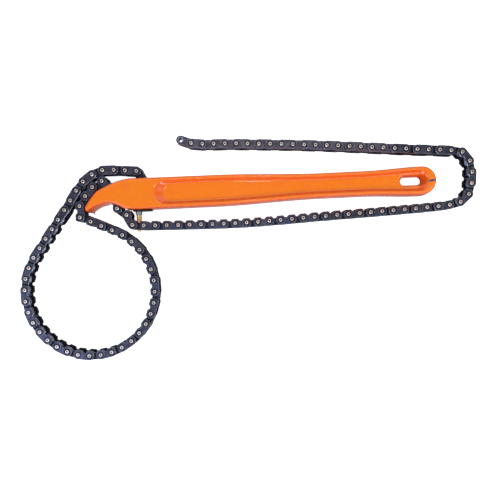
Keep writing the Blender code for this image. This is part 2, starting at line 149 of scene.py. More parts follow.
def smooth_through(points: Sequence[Vector], steps: int) -> list[Vector]:
    """Draws a smooth curve through points.

    Args:
        points: The points to pass through. The first and last only steer the curve.
        steps: Points made for each stretch.

    Returns:
        Points from the second point to the one before the last.
    """
    curve = [points[1].copy()]
    for a, b, c, d in zip(points, points[1:], points[2:], points[3:]):
        for step in range(1, steps + 1):
            t = step / steps
            curve.append(
                0.5 * (2 * b + (c - a) * t + (2 * a - 5 * b + 4 * c - d) * t**2
                       + (3 * b - a - 3 * c + d) * t**3)
            )
    return curve


def add_loop(bm: bmesh.types.BMesh, points: Sequence[Vector], height: float) -> bmesh.types.BMFace:
    """Adds one flat face from plan points at a height."""
    return bm.faces.new([bm.verts.new((point.x, point.y, height)) for point in points])


def prism(points: Sequence[Vector], low: float, high: float) -> bmesh.types.BMesh:
    """Makes a closed solid with one plan between two heights.

    Args:
        points: The plan, in order.
        low: Height of the lower face.
        high: Height of the upper face.

    Returns:
        The solid.
    """
    bm = bmesh.new()
    face = add_loop(bm, points, low)
    grown = bmesh.ops.extrude_face_region(bm, geom=[face])["geom"]
    top = [item for item in grown if isinstance(item, bmesh.types.BMVert)]
    bmesh.ops.translate(bm, verts=top, vec=(0.0, 0.0, high - low))
    bmesh.ops.recalc_face_normals(bm, faces=bm.faces)
    return bm


def bridge(bm: bmesh.types.BMesh, faces: Sequence[bmesh.types.BMFace]) -> None:
    """Joins a stack of flat faces into one closed solid.

    Args:
        bm: The mesh that holds them.
        faces: The faces, in order. The first and the last stay as its ends.
    """
    loops = [list(face.edges) for face in faces]
    bmesh.ops.delete(bm, geom=list(faces[1:-1]), context="FACES_ONLY")
    for first, second in zip(loops, loops[1:]):
        bmesh.ops.bridge_loops(bm, edges=first + second)
    bmesh.ops.recalc_face_normals(bm, faces=bm.faces)


def lathe(
    bm: bmesh.types.BMesh, profile: Sequence[tuple[float, float]], steps: int
) -> list[bmesh.types.BMVert]:
    """Turns a profile about the Z axis into a closed skin.

    Args:
        bm: The mesh that it goes into.
        profile: Radius and height pairs, with both ends on the axis.
        steps: Facets round the axis.

    Returns:
        The new vertices.
    """
    before = set(bm.verts)
    verts = [bm.verts.new((radius, 0.0, height)) for radius, height in profile]
    edges = [bm.edges.new(pair) for pair in zip(verts, verts[1:])]
    bmesh.ops.spin(
        bm, geom=verts + edges, cent=(0.0, 0.0, 0.0), axis=(0.0, 0.0, 1.0),
        angle=math.tau, steps=steps, use_merge=True,
    )
    made = [vert for vert in bm.verts if vert not in before]
    bmesh.ops.remove_doubles(bm, verts=made, dist=0.002 * MM)
    made = [vert for vert in bm.verts if vert not in before]
    faces = {face for vert in made for face in vert.link_faces}
    bmesh.ops.recalc_face_normals(bm, faces=list(faces))
    return made


def add_mesh(
    name: str, bm: bmesh.types.BMesh, materials: Sequence[bpy.types.Material], sharp: float = 35.0
) -> bpy.types.Object:
    """Makes a finished object from a bmesh.

    Args:
        name: The object's name.
        bm: Its mesh, which is freed.
        materials: Its materials, in slot order.
        sharp: Edges that turn by more degrees than this stay sharp.

    Returns:
        The object, at the origin.
    """
    mesh = bpy.data.meshes.new(name)
    bm.to_mesh(mesh)
    bm.free()
    mesh.shade_smooth()
    mesh.set_sharp_from_angle(angle=math.radians(sharp))
    for material in materials:
        mesh.materials.append(material)
    obj = bpy.data.objects.new(name, mesh)
    bpy.context.scene.collection.objects.link(obj)
    return obj


# Finishes


def new_material(name: str) -> tuple[bpy.types.Material, bpy.types.NodeTree, bpy.types.Node]:
    """Starts a node material.

    Args:
        name: The material's name.

    Returns:
        The material, its tree and its Principled shader.
    """
    material = bpy.data.materials.new(name)
    material.use_nodes = True
    return material, material.node_tree, material.node_tree.nodes["Principled BSDF"]


def object_noise(
    tree: bpy.types.NodeTree, place: bpy.types.NodeSocket, size: float, detail: float = 2.0
) -> bpy.types.NodeSocket:
    """Adds noise in object space.

    Args:
        tree: The material's tree.
        place: Object coordinates.
        size: Millimetres across its features.
        detail: Octaves of finer noise.

    Returns:
        The noise, from 0 to 1.
    """
    node = add_node(tree, "ShaderNodeTexNoise", inputs={
        "Vector": place, "Scale": per_metre(size), "Detail": detail, "Roughness": 0.55,
    })
    return node.outputs["Fac"]


def stepped(
    tree: bpy.types.NodeTree, value: bpy.types.NodeSocket, low: float, high: float,
    to_low: float = 0.0, to_high: float = 1.0,
) -> bpy.types.NodeSocket:
    """Maps a stretch of a value smoothly onto another, held at both ends.

    Args:
        tree: The tree that the node goes into.
        value: The value to map.
        low: Where the stretch starts.
        high: Where it ends.
        to_low: The result at its start and below.
        to_high: The result at its end and above.

    Returns:
        The mapped value.
    """
    node = add_node(tree, "ShaderNodeMapRange", {"interpolation_type": "SMOOTHSTEP"}, {
        "Value": value, "From Min": low, "From Max": high, "To Min": to_low, "To Max": to_high,
    })
    return node.outputs["Result"]


def blended(
    tree: bpy.types.NodeTree, amount: bpy.types.NodeSocket, first: Any, second: Any
) -> bpy.types.NodeSocket:
    """Mixes two colours, each a value or a socket."""
    node = add_node(tree, "ShaderNodeMix", {"data_type": "RGBA"}, {0: amount, 6: first, 7: second})
    return node.outputs[2]


@dataclass(frozen=True)
class OrangeEnamel:
    """Stoved enamel sprayed on a drop forging: glossy, a little uneven, with painted shade on its
    walls, which are redder and darker than the flats.
    """

    name: str = "stoved_orange_enamel"
    face: str = "#F47C0A"
    # wall and side are painted shade colours, for sloped faces and for steep side walls
    wall: str = "#EE6118"
    side: str = "#DC561A"
    cloud: str = "#EE6A1B"
    bare: str = "#4A5262"
    peel_size: float = 1.1
    flow_size: float = 9.0
    cloud_size: float = 14.0
    sheen_size: float = 5.0
    chip_centre: tuple[float, float, float] = (239.9, -11.5, 18.5)
    chip_half: tuple[float, float, float] = (3.5, 1.0, 3.0)
    chip_turn: float = 7.0

    def material(self) -> bpy.types.Material:
        """Builds the enamel, with the worn spot at the grip's end.

        Returns:
            The material.
        """
        material, tree, shader = new_material(self.name)
        place = add_node(tree, "ShaderNodeTexCoord").outputs["Object"]
        normal = add_node(tree, "ShaderNodeNewGeometry").outputs["Normal"]
        up = add_node(tree, "ShaderNodeSeparateXYZ", inputs={0: normal}).outputs["Z"]
        flat = add_node(tree, "ShaderNodeMath", {"operation": "ABSOLUTE"}, {0: up}).outputs[0]
        # Painted shade: faces that slope from flat take a redder, darker orange, and steep side
        # walls a darker one still
        paint = blended(
            tree, stepped(tree, flat, 0.90, 0.985), linear(self.wall), linear(self.face)
        )
        paint = blended(tree, stepped(tree, flat, 0.10, 0.50), linear(self.side), paint)
        cloud = stepped(tree, object_noise(tree, place, self.cloud_size), 0.35, 0.75, 0.0, 0.30)
        paint = blended(tree, cloud, paint, linear(self.cloud))
        worn = self.worn_spot(tree, place)
        colour = blended(tree, worn, paint, linear(self.bare))
        peel = object_noise(tree, place, self.peel_size, 1.0)
        flow = object_noise(tree, place, self.flow_size, 1.0)
        low = add_node(tree, "ShaderNodeBump", inputs={
            "Height": flow, "Strength": 0.35, "Distance": 0.35 * MM,
        }).outputs["Normal"]
        bump = add_node(tree, "ShaderNodeBump", inputs={
            "Height": peel, "Normal": low, "Strength": 0.25, "Distance": 0.03 * MM,
        }).outputs["Normal"]
        gloss = stepped(tree, object_noise(tree, place, self.sheen_size), 0.3, 0.7, 0.20, 0.34)
        rough = add_node(tree, "ShaderNodeMath", {"operation": "MAXIMUM"}, {
            0: gloss, 1: stepped(tree, worn, 0.0, 1.0, 0.0, 0.5),
        }).outputs[0]
        for socket, source in (("Base Color", colour), ("Roughness", rough), ("Normal", bump)):
            tree.links.new(source, shader.inputs[socket])
        shader.inputs["IOR"].default_value = 1.5
        shader.inputs["Specular IOR Level"].default_value = 0.15
        shader.inputs["Coat Weight"].default_value = 0.9
        shader.inputs["Coat Roughness"].default_value = 0.06
        return material

    def worn_spot(
        self, tree: bpy.types.NodeTree, place: bpy.types.NodeSocket
    ) -> bpy.types.NodeSocket:
        """Mask of the long chip through the enamel on the grip's end.

        Args:
            tree: The material's tree.
            place: Object coordinates.

        Returns:
            1 on bare steel and 0 on enamel.
        """
        near = add_node(tree, "ShaderNodeMapping", {"vector_type": "TEXTURE"}, {
            "Vector": place,
            "Location": [value * MM for value in self.chip_centre],
            "Rotation": (0.0, 0.0, math.radians(self.chip_turn)),
            "Scale": [value * MM for value in self.chip_half],
        }).outputs["Vector"]
        away = add_node(tree, "ShaderNodeVectorMath", {"operation": "LENGTH"}, {0: near})
        ragged = add_node(tree, "ShaderNodeMath", {"operation": "MULTIPLY_ADD"}, {
            0: object_noise(tree, place, 1.2, 3.0), 1: 1.4, 2: away.outputs["Value"],
        }).outputs[0]
        return stepped(tree, ragged, 1.55, 1.75, 1.0, 0.0)


@dataclass(frozen=True)
class BluedSteel:
    """Hardened plate steel, oil blued: near black with a blue cast and a dull, handled sheen."""

    name: str = "oil_blued_steel"
    dark: str = "#383844"
    light: str = "#58586A"
    blue: str = "#4A5474"
    roughness: float = 0.42

    def material(self) -> bpy.types.Material:
        """Builds the blued steel, with slow drifts of colour and a fine stamped grain.

        Returns:
            The material.
        """
        material, tree, shader = new_material(self.name)
        place = add_node(tree, "ShaderNodeTexCoord").outputs["Object"]
        base = blended(
            tree, stepped(tree, object_noise(tree, place, 3.0, 4.0), 0.3, 0.7),
            linear(self.dark), linear(self.light),
        )
        drift = stepped(tree, object_noise(tree, place, 45.0, 1.0), 0.45, 0.7, 0.0, 0.45)
        colour = blended(tree, drift, base, linear(self.blue))
        rough = stepped(
            tree, object_noise(tree, place, 2.2, 3.0), 0.3, 0.7,
            self.roughness - 0.10, self.roughness + 0.10,
        )
        grain = object_noise(tree, place, 0.5, 2.0)
        bump = add_node(tree, "ShaderNodeBump", inputs={
            "Height": grain, "Strength": 0.3, "Distance": 0.03 * MM,
        }).outputs["Normal"]
        for socket, source in (("Base Color", colour), ("Roughness", rough), ("Normal", bump)):
            tree.links.new(source, shader.inputs[socket])
        shader.inputs["Metallic"].default_value = 0.85
        return material


@dataclass(frozen=True)
class PlainMetal:
    """A turned or ground metal: one colour with soft stains and a grain at its real size."""

    name: str
    colour: str
    stain: str
    roughness: float
    metallic: float = 1.0
    stain_size: float = 1.6
    grain_size: float = 0.4

    def material(self) -> bpy.types.Material:
        """Builds the metal, with its stains duller than the rest.

        Returns:
            The material.
        """
        material, tree, shader = new_material(self.name)
        place = add_node(tree, "ShaderNodeTexCoord").outputs["Object"]
        stains = stepped(tree, object_noise(tree, place, self.stain_size, 3.0), 0.45, 0.72)
        colour = blended(tree, stains, linear(self.colour), linear(self.stain))
        rough = stepped(tree, stains, 0.0, 1.0, self.roughness, self.roughness + 0.18)
        bump = add_node(tree, "ShaderNodeBump", inputs={
            "Height": object_noise(tree, place, self.grain_size), "Strength": 0.25,
            "Distance": 0.02 * MM,
        }).outputs["Normal"]
        for socket, source in (("Base Color", colour), ("Roughness", rough), ("Normal", bump)):
            tree.links.new(source, shader.inputs[socket])
        shader.inputs["Metallic"].default_value = self.metallic
        return material


class Finish(Enum):
    """The finishes on the wrench."""

    ENAMEL = "orange_enamel"
    BLUED = "blued_steel"
    BRIGHT = "bright_steel"
    BLACK = "black_steel"
    ZINC = "yellow_zinc"


@dataclass
class Palette:
    """Every material, made once."""

    materials: dict[Finish, bpy.types.Material] = field(default_factory=dict)
    dimple_shade: bpy.types.Material | None = None
    edge_highlight: bpy.types.Material | None = None
    inner_shade: bpy.types.Material | None = None
    shadow_ring: bpy.types.Material | None = None
    pale_tail: bpy.types.Material | None = None
    collar: bpy.types.Material | None = None

    def build(self) -> None:
        """Makes the materials."""
        self.materials = {
            Finish.ENAMEL: OrangeEnamel().material(),
            Finish.BLUED: BluedSteel().material(),
            # Pin ends are faced after riveting, so they are bare and faintly pink with oil
            Finish.BRIGHT: PlainMetal("faced_pin_steel", "#F0E4DD", "#C2B0AA", 0.36).material(),
            Finish.BLACK: PlainMetal(
                "black_oxide_strap", "#17171B", "#26262B", 0.5, 0.5,
            ).material(),
            # Yellow chromate over zinc leaves a warm gold film
            Finish.ZINC: PlainMetal(
                "yellow_zinc_plate", "#F2C27C", "#CB944E", 0.3, 0.5,
            ).material(),
        }
        # Painted shade: the punch mark in each pin end is coloured dark, as its hollow in shade
        self.dimple_shade = PlainMetal("punch_mark_painted_shade", "#5A4745", "#3A2E30", 0.6, 0.5).material()
        # Painted shade: the inner plates and bushes, which sit between and below the outer plates,
        # are coloured nearly black
        self.inner_shade = BluedSteel(
            name="inner_plate_painted_shade", dark="#1D1D25", light="#33323E", blue="#32384C",
            roughness=0.5,
        ).material()
        # The links at the free end are coloured a lighter, warmer grey than the rest of the chain
        self.pale_tail = BluedSteel(
            name="pale_tail_blued_steel", dark="#4B4753", light="#726C7C", blue="#646480",
        ).material()
        # Painted shadow: a near-black ring round the foot of each pin end
        self.shadow_ring = PlainMetal("pin_shadow_ring", "#15151B", "#1D1D24", 0.6, 0.5).material()
        # The peg's collar is coloured grey, apart from the gold of the rest of the peg
        self.collar = PlainMetal("grey_collar_steel", "#B5B4B6", "#7C746E", 0.4, 0.6).material()
        # Painted highlight: the eased plate edges and bush ends are coloured pale blue-grey, as
        # thin lines of caught light
        self.edge_highlight = PlainMetal("painted_edge_highlight", "#9CA6BA", "#6E7690", 0.3).material()

    def __getitem__(self, finish: Finish) -> bpy.types.Material:
        """The material of a finish."""
        return self.materials[finish]


# The chain


@dataclass
class ChainLay:
    """Where each pin stands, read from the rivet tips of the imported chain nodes."""

    rivet_top: float = 5.98 * MM
    inner_top: float = 3.66 * MM
    pitch: float = PITCH
    corner: tuple[float, float] = (3.6 * MM, 3.8 * MM)
    pins: list[Vector] = field(default_factory=list)
    heights: list[float] = field(default_factory=list)
    nodes: list[str] = field(default_factory=list)

    def build(self) -> None:
        """Reads the pins in order, from the anchor to the free end."""
        self.pins = [Vector((0.0, 0.0))]
        for name in sorted(n for n in frame["nodes"] if n.startswith("chain_pair_")):
            corners = {tuple(round(c, 6) for c in v.co) for v in frame["nodes"][name].data.vertices}
            top = max(corner[2] for corner in corners)
            tips = [Vector(corner[:2]) for corner in corners if corner[2] > top - 0.01 * MM]
            if len(tips) > 4:
                self.add_free_end(name, corners, top - self.inner_top)
                continue
            while tips:
                nearest = min(tips, key=lambda tip: (tip - self.pins[-1]).length)
                tips.remove(nearest)
                self.pins.append(nearest)
                self.heights.append(top - self.rivet_top)
                self.nodes.append(name)

    def add_free_end(self, name: str, corners: set[tuple[float, ...]], height: float) -> None:
        """Adds the last link's open end, found from the far corner of its plate.

        Args:
            name: The last chain node.
            corners: Its vertices.
            height: The height of its middle.
        """
        start = self.pins[-1]
        far = max((Vector(c[:2]) for c in corners), key=lambda point: (point - start).length)
        past, back = self.corner
        angle = bearing(start, far) + math.atan2(back, self.pitch + past)
        self.pins.append(start + polar(self.pitch, math.degrees(angle)))
        self.heights.append(height)
        self.nodes.append(name)

    def beside(self, index: int, distance: float) -> Vector:
        """Finds a point beside a pin, square to the chain's way there.

        Args:
            index: The pin.
            distance: How far beside it, positive on the toothed side and negative on the back.

        Returns:
            The point in plan.
        """
        here = self.pins[index]
        arrive = (here - self.pins[index - 1]).normalized()
        leave = (self.pins[index + 1] - here).normalized()
        along = (arrive + leave).normalized()
        return here + Vector((-along.y, along.x)) * (distance / along.dot(leave))


@dataclass
class LinkShapes:
    """The chain's repeated shapes: an inner link, an outer link and the two ends of a pin."""

    pitch: float = PITCH
    half_inside: float = 2.39 * MM
    plate: float = 1.27 * MM
    gap: float = 0.45 * MM
    back: float = 3.85 * MM
    end: float = 3.85 * MM
    tooth: float = 3.7 * MM
    tooth_half: float = 2.6 * MM
    notch: float = 2.0 * MM
    notch_half: float = 1.1 * MM
    bush: float = 2.54 * MM
    bore: float = 1.8 * MM
    bush_rise: float = 0.12 * MM
    rim: float = 0.28 * MM
    head: float = 1.55 * MM
    # Radius of the painted shadow ring round the foot of each pin end
    shadow_ring: float = 2.5 * MM
    head_rise: float = 0.58 * MM
    meshes: dict[str, bpy.types.Mesh] = field(default_factory=dict)

    def build(self) -> None:
        """Models each shape once, along +X from its first pin."""
        self.keep("inner", self.inner_link(True, False))
        self.keep("outer", self.outer_link(True))
        self.keep("plain_inner", self.inner_link(False, False))
        self.keep("plain_outer", self.outer_link(False))
        self.keep("free_end", self.inner_link(False, True))
        self.keep("heads", self.pin_heads())

    def keep(self, name: str, bm: bmesh.types.BMesh) -> None:
        """Stores a shape as a mesh.

        Args:
            name: What it is called in the set.
            bm: The shape, which is freed.
        """
        mesh = bpy.data.meshes.new(name)
        bm.to_mesh(mesh)
        bm.free()
        self.meshes[name] = mesh

    def plate_corners(self, toothed: bool) -> list[tuple[float, float, float, int]]:
        """Lists a plate's corners, anticlockwise from the back.

        Args:
            toothed: Whether it has teeth; a plain plate has a second straight edge.

        Returns:
            X, Y, rounding and rounding steps of each corner.
        """
        p = self.pitch
        middle = p / 2
        side = 1.5 * MM
        backs = [(-self.end, -self.back, 3.7 * MM, 5), (p + self.end, -self.back, 3.7 * MM, 5)]
        if not toothed:
            return [*backs, (p + self.end, self.tooth, 3.5 * MM, 5),
                    (-self.end, self.tooth, 3.5 * MM, 5)]
        return [
            *backs,
            (p + self.end, side, 1.2 * MM, 2),
            (p + self.tooth_half, self.tooth, 0.35 * MM, 1),
            (p - self.tooth_half, self.tooth, 0.4 * MM, 1),
            (middle + self.notch_half, self.notch, 0.9 * MM, 3),
            (middle - self.notch_half, self.notch, 0.9 * MM, 3),
            (self.tooth_half, self.tooth, 0.4 * MM, 1),
            (-self.tooth_half, self.tooth, 0.35 * MM, 1),
            (-self.end, side, 1.2 * MM, 2),
        ]

    def add_plate(
        self, bm: bmesh.types.BMesh, low: float, side: int, toothed: bool,
        holes: Sequence[float] = (),
    ) -> None:
        """Adds one plate, its outward edge eased and coloured as a painted highlight.

        Args:
            bm: The mesh that it goes into.
            low: Distance of its inward face from the chain's middle.
            side: 1 above the middle and -1 below.
            toothed: Whether it has teeth.
            holes: Where along the pitch it is bored through.
        """
        part = bmesh.new()
        corners = self.plate_corners(toothed)
        face = add_loop(part, [Vector(corner[:2]) for corner in corners], 0.0)
        for vert, (_, _, rounding, steps) in zip(list(face.verts), corners):
            bmesh.ops.bevel(
                part, geom=[vert], offset=rounding, offset_type="OFFSET", affect="VERTICES",
                segments=steps, profile=0.5, material=-1, clamp_overlap=True,
            )
        if holes:
            self.bore_holes(part, holes)
        grown = bmesh.ops.extrude_face_region(part, geom=part.faces[:])["geom"]
        top = [item for item in grown if isinstance(item, bmesh.types.BMVert)]
        bmesh.ops.translate(part, verts=top, vec=(0.0, 0.0, self.plate))
        bmesh.ops.recalc_face_normals(part, faces=part.faces)
        rims = [
            edge for edge in part.edges
            if all(vert.co.z > self.plate * 0.5 for vert in edge.verts)
            and len(edge.link_faces) == 2 and edge.calc_face_angle(0.0) > 1.0
        ]
        eased = bmesh.ops.bevel(
            part, geom=rims, offset=self.rim, affect="EDGES", segments=1, profile=0.5, material=-1,
        )
        # The eased rims take slot 1, the painted edge highlight
        for face in eased["faces"]:
            face.material_index = 1
        if side < 0:
            bmesh.ops.scale(part, verts=part.verts, vec=(1.0, 1.0, -1.0))
            bmesh.ops.reverse_faces(part, faces=part.faces)
        bmesh.ops.translate(part, verts=part.verts, vec=(0.0, 0.0, side * low))
        append(bm, part)

    def bore_holes(self, part: bmesh.types.BMesh, holes: Sequence[float]) -> None:
        """Turns a plate's flat face into one with round holes.

        Args:
            part: The plate, still one flat face.
            holes: Where along the pitch each hole is.
        """
        for along in holes:
            bmesh.ops.create_circle(
                part, cap_ends=False, radius=self.bush, segments=20,
                matrix=Matrix.Translation((along, 0.0, 0.0)),
            )
        bmesh.ops.delete(part, geom=part.faces[:], context="FACES_ONLY")
        bmesh.ops.triangle_fill(part, use_beauty=True, edges=part.edges[:], normal=(0.0, 0.0, 1.0))

    def add_bush(self, bm: bmesh.types.BMesh, along: float, bored: bool) -> None:
        """Adds a bush between the inner plates.

        Args:
            bm: The mesh that it goes into.
            along: Its place along the pitch.
            bored: Whether its bore shows.
        """
        half = self.half_inside
        if bored:
            reach = half + self.plate + self.bush_rise
            profile = [
                (self.bush, -reach), (self.bush, reach), (self.bore, reach), (self.bore, -reach),
            ]
            part = bmesh.new()
            verts = [part.verts.new((radius, 0.0, z)) for radius, z in profile]
            edges = [part.edges.new(pair) for pair in zip(verts, verts[1:] + verts[:1])]
            bmesh.ops.spin(
                part, geom=verts + edges, cent=(0.0, 0.0, 0.0), axis=(0.0, 0.0, 1.0),
                angle=math.tau, steps=20, use_merge=True,
            )
            bmesh.ops.recalc_face_normals(part, faces=part.faces)
            # The bush's end rings take slot 1, the painted edge highlight
            for face in part.faces:
                face.material_index = 1 if abs(face.normal.z) > 0.5 else 0
        else:
            part = bmesh.new()
            bmesh.ops.create_cone(
                part, cap_ends=True, segments=16, radius1=self.bush, radius2=self.bush,
                depth=2 * half,
            )
        bmesh.ops.translate(part, verts=part.verts, vec=(along, 0.0, 0.0))
        append(bm, part)

    def inner_link(self, toothed: bool, free: bool) -> bmesh.types.BMesh:
        """Models two inner plates on two bushes.

        Args:
            toothed: Whether the plates have teeth.
            free: Whether it ends the chain, with its far bush open.

        Returns:
            The link, along +X from its first pin.
        """
        bm = bmesh.new()
        for side in (1, -1):
            self.add_plate(bm, self.half_inside, side, toothed, (self.pitch,) if free else ())
        self.add_bush(bm, 0.0, False)
        self.add_bush(bm, self.pitch, free)
        # Inner plates and bushes take slot 2, their painted shade
        for face in bm.faces:
            face.material_index = 2 if face.material_index == 0 else 1
        return bm

    def outer_link(self, toothed: bool) -> bmesh.types.BMesh:
        """Models two outer plates.

        Args:
            toothed: Whether they have teeth.

        Returns:
            The link, along +X from its first pin.
        """
        bm = bmesh.new()
        for side in (1, -1):
            self.add_plate(bm, self.half_inside + self.plate + self.gap, side, toothed)
        return bm

    def pin_heads(self) -> bmesh.types.BMesh:
        """Models both ends of a pin: a faced, riveted collar with a punch mark in its middle.

        Returns:
            The two ends, on the pin's axis.
        """
        bm = bmesh.new()
        low = self.half_inside + 2 * self.plate + self.gap
        high = low + self.head_rise
        profile = [
            (0.0, low), (self.shadow_ring, low), (self.shadow_ring - 0.1 * MM, low + 0.05 * MM),
            (self.head + 0.03 * MM, low + 0.06 * MM), (self.head, low + 0.3 * MM),
            (self.head - 0.3 * MM, high - 0.04 * MM), (1.0 * MM, high),
            (0.74 * MM, high - 0.02 * MM), (0.55 * MM, high - 0.22 * MM), (0.0, high - 0.26 * MM),
        ]
        for side in (1, -1):
            part = bmesh.new()
            lathe(part, profile, 18)
            # Slot 1, the punch mark's painted shade, goes on the middle of the end; slot 2, the
            # painted shadow ring, on its foot
            for face in part.faces:
                centre = face.calc_center_median()
                if centre.z < low + 0.12 * MM:
                    face.material_index = 2
                elif centre.xy.length < 0.70 * MM:
                    face.material_index = 1
            if side < 0:
                bmesh.ops.scale(part, verts=part.verts, vec=(1.0, 1.0, -1.0))
                bmesh.ops.reverse_faces(part, faces=part.faces)
            append(bm, part)
        return bm


def append(bm: bmesh.types.BMesh, part: bmesh.types.BMesh) -> None:
    """Adds one bmesh to another.

    Args:
        bm: The mesh that grows.
        part: The mesh that is added and freed.
    """
    mesh = bpy.data.meshes.new("part")
    part.to_mesh(mesh)
    part.free()
    bm.from_mesh(mesh)
    bpy.data.meshes.remove(mesh)


@dataclass
class Chain:
    """The toothed chain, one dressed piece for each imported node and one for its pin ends."""

    lay: ChainLay
    shapes: LinkShapes
    palette: Palette
    toothed: range = range(10, 89)
    pale_from: int = 93

    def place(self, bm: bmesh.types.BMesh, shape: str, index: int, height: float) -> None:
        """Adds a shape at a pin, turned along the link that leaves it.

        Args:
            bm: The mesh that it goes into.
            shape: The shape's name.
            index: The pin.
            height: The height of the chain's middle there.
        """
        start = self.lay.pins[index]
        end = self.lay.pins[min(index + 1, len(self.lay.pins) - 1)]
        turn = bearing(start, end) if end != start else 0.0
        before = len(bm.verts)
        bm.from_mesh(self.shapes.meshes[shape])
        bm.verts.ensure_lookup_table()
        spot = Matrix.Translation((start.x, start.y, height)) @ Matrix.Rotation(turn, 4, "Z")
        bmesh.ops.transform(bm, matrix=spot, verts=bm.verts[before:])

    def build(self) -> None:
        """Makes the chain's pieces."""
        links: dict[str, list[int]] = {}
        for index, node in enumerate(self.lay.nodes):
            links.setdefault(node, []).append(index)
        last = len(self.lay.nodes) - 1
        for node, indices in links.items():
            plates, heads = bmesh.new(), bmesh.new()
            for index in indices:
                height = self.lay.heights[index]
                if index == last:
                    self.place(plates, "free_end", index, height)
                    continue
                plain = "" if index in self.toothed else "plain_"
                self.place(plates, f"{plain}{'outer' if index % 2 else 'inner'}", index, height)
                self.place(heads, "heads", index + 1, height)
            number = node.rsplit("_", 1)[1]
            # Slot 1 is the painted edge highlight and slot 2 the inner plates' painted shade
            steel = [self.palette[Finish.BLUED], self.palette.edge_highlight, self.palette.inner_shade]
            # Links at the free end take a paler grey throughout, without the inner plates' painted
            # shade
            if indices[0] >= self.pale_from:
                steel = [self.palette.pale_tail, self.palette.edge_highlight, self.palette.pale_tail]
            self.dress(add_mesh(f"links_{number}", plates, steel), node)
            if len(heads.verts):
                # Slot 1 is the punch mark's painted shade, slot 2 the painted shadow ring
                bright = [self.palette[Finish.BRIGHT], self.palette.dimple_shade, self.palette.shadow_ring]
                self.dress(add_mesh(f"pin_ends_{number}", heads, bright, 28.0), node)
            else:
                heads.free()
        LOG.info("chain: %d links", len(self.lay.nodes))

    def dress(self, piece: bpy.types.Object, node: str) -> None:
        """Fastens a piece to its node's body and lets it stand for the node.

        Args:
            piece: The piece.
            node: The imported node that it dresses.
        """
        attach(piece, frame["nodes"][node]["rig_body"])
        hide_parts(node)


# The handle and its hook


